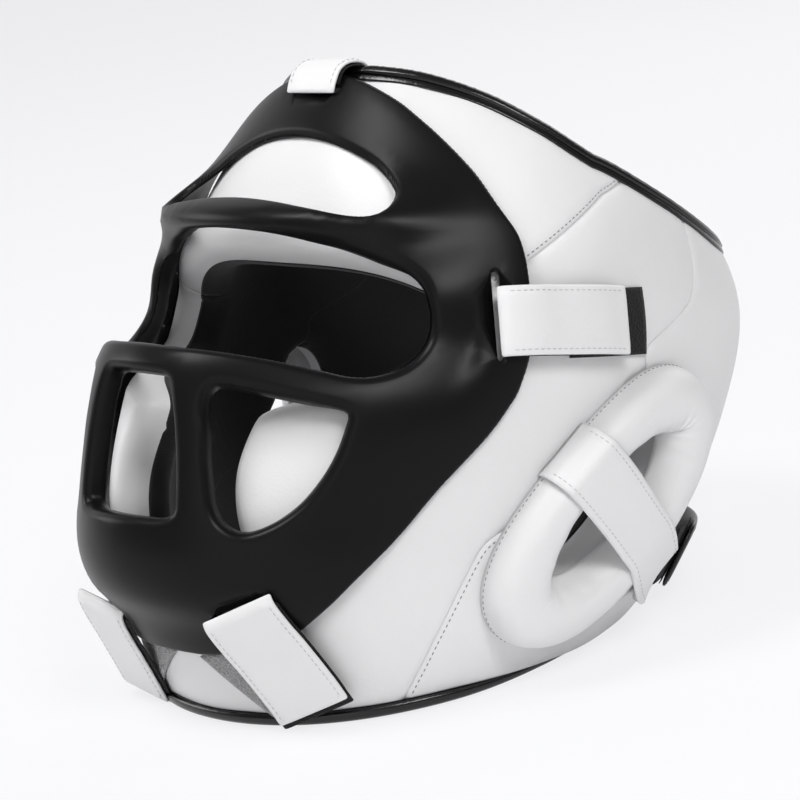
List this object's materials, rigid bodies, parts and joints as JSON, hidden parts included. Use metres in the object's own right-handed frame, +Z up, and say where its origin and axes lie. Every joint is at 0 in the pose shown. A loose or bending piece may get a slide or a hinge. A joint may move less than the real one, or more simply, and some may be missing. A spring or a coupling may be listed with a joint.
{
  "type": "boxing_headguard",
  "caption": "White padded boxing headguard with a black moulded face mask held by five hook-and-loop straps, ear rings and a nape strap.",
  "frame": {"origin": "middle of the footprint on the floor, below the middle of the bounding box", "axes": "X across to the wearer's left, Y from the face to the nape, Z up"},
  "size_m": [0.2474, 0.2922, 0.2303],
  "materials": {
    "mask": "satin black moulding",
    "leather": "smooth white synthetic leather with fine stitching",
    "padding": "foam core inside the panels",
    "lining": "black woven lining",
    "binding": "glossy black piping",
    "hook": "black hook tape",
    "loop": "loop pile patch",
    "nape": "glossy black strap"
  },
  "bodies": {
    "helmet": {"face_mask": "mask", "forehead_cover": "leather", "left_side_cover": "leather", "right_side_cover": "leather", "left_rear_cover": "leather", "right_rear_cover": "leather", "chin_cover": "leather", "forehead_foam": "padding", "left_side_foam": "padding", "right_side_foam": "padding", "left_rear_foam": "padding", "right_rear_foam": "padding", "chin_foam": "padding", "forehead_lining": "lining", "left_side_lining": "lining", "right_side_lining": "lining", "left_rear_lining": "lining", "right_rear_lining": "lining", "chin_lining": "lining", "rim_binding": "binding", "base_binding": "binding", "left_ear_ring": "leather", "right_ear_ring": "leather", "left_ear_strap": "leather", "right_ear_strap": "leather", "left_side_loop": "loop", "right_side_loop": "loop", "left_chin_loop": "loop", "right_chin_loop": "loop", "nape_loop": "loop"},
    "top_strap": {"top_tab": "leather", "top_hook": "hook"},
    "left_side_strap": {"left_side_tab": "leather", "left_side_hook": "hook"},
    "right_side_strap": {"right_side_tab": "leather", "right_side_hook": "hook"},
    "left_chin_strap": {"left_chin_tab": "leather", "left_chin_hook": "hook"},
    "right_chin_strap": {"right_chin_tab": "leather", "right_chin_hook": "hook"},
    "nape": {"nape_strap": "nape", "nape_hook": "hook"}
  },
  "joints": [
    {"name": "top_strap_swing", "type": "hinge", "parent": "helmet", "child": "top_strap", "pos_m": [0, -0.0179, 0.21949], "axis": [1, 0, 0], "range_deg": [0, 140]},
    {"name": "left_side_strap_swing", "type": "hinge", "parent": "helmet", "child": "left_side_strap", "pos_m": [0.09935, -0.03327, 0.138], "axis": [0.1653, -0.2707, -0.9484], "range_deg": [0, 150]},
    {"name": "right_side_strap_swing", "type": "hinge", "parent": "helmet", "child": "right_side_strap", "pos_m": [-0.09935, -0.03327, 0.138], "axis": [0.1653, 0.2707, 0.9484], "range_deg": [0, 150]},
    {"name": "left_chin_strap_swing", "type": "hinge", "parent": "helmet", "child": "left_chin_strap", "pos_m": [0.04574, -0.12869, 0.05476], "axis": [-0.8105, -0.4771, -0.3397], "range_deg": [0, 130]},
    {"name": "right_chin_strap_swing", "type": "hinge", "parent": "helmet", "child": "right_chin_strap", "pos_m": [-0.04574, -0.12869, 0.05476], "axis": [-0.8105, 0.4771, 0.3397], "range_deg": [0, 130]},
    {"name": "nape_strap_swing", "type": "hinge", "parent": "helmet", "child": "nape", "pos_m": [-0.09398, 0.05246, 0.02672], "axis": [-0.1956, 0.5717, 0.7968], "range_deg": [0, 60]}
  ]
}
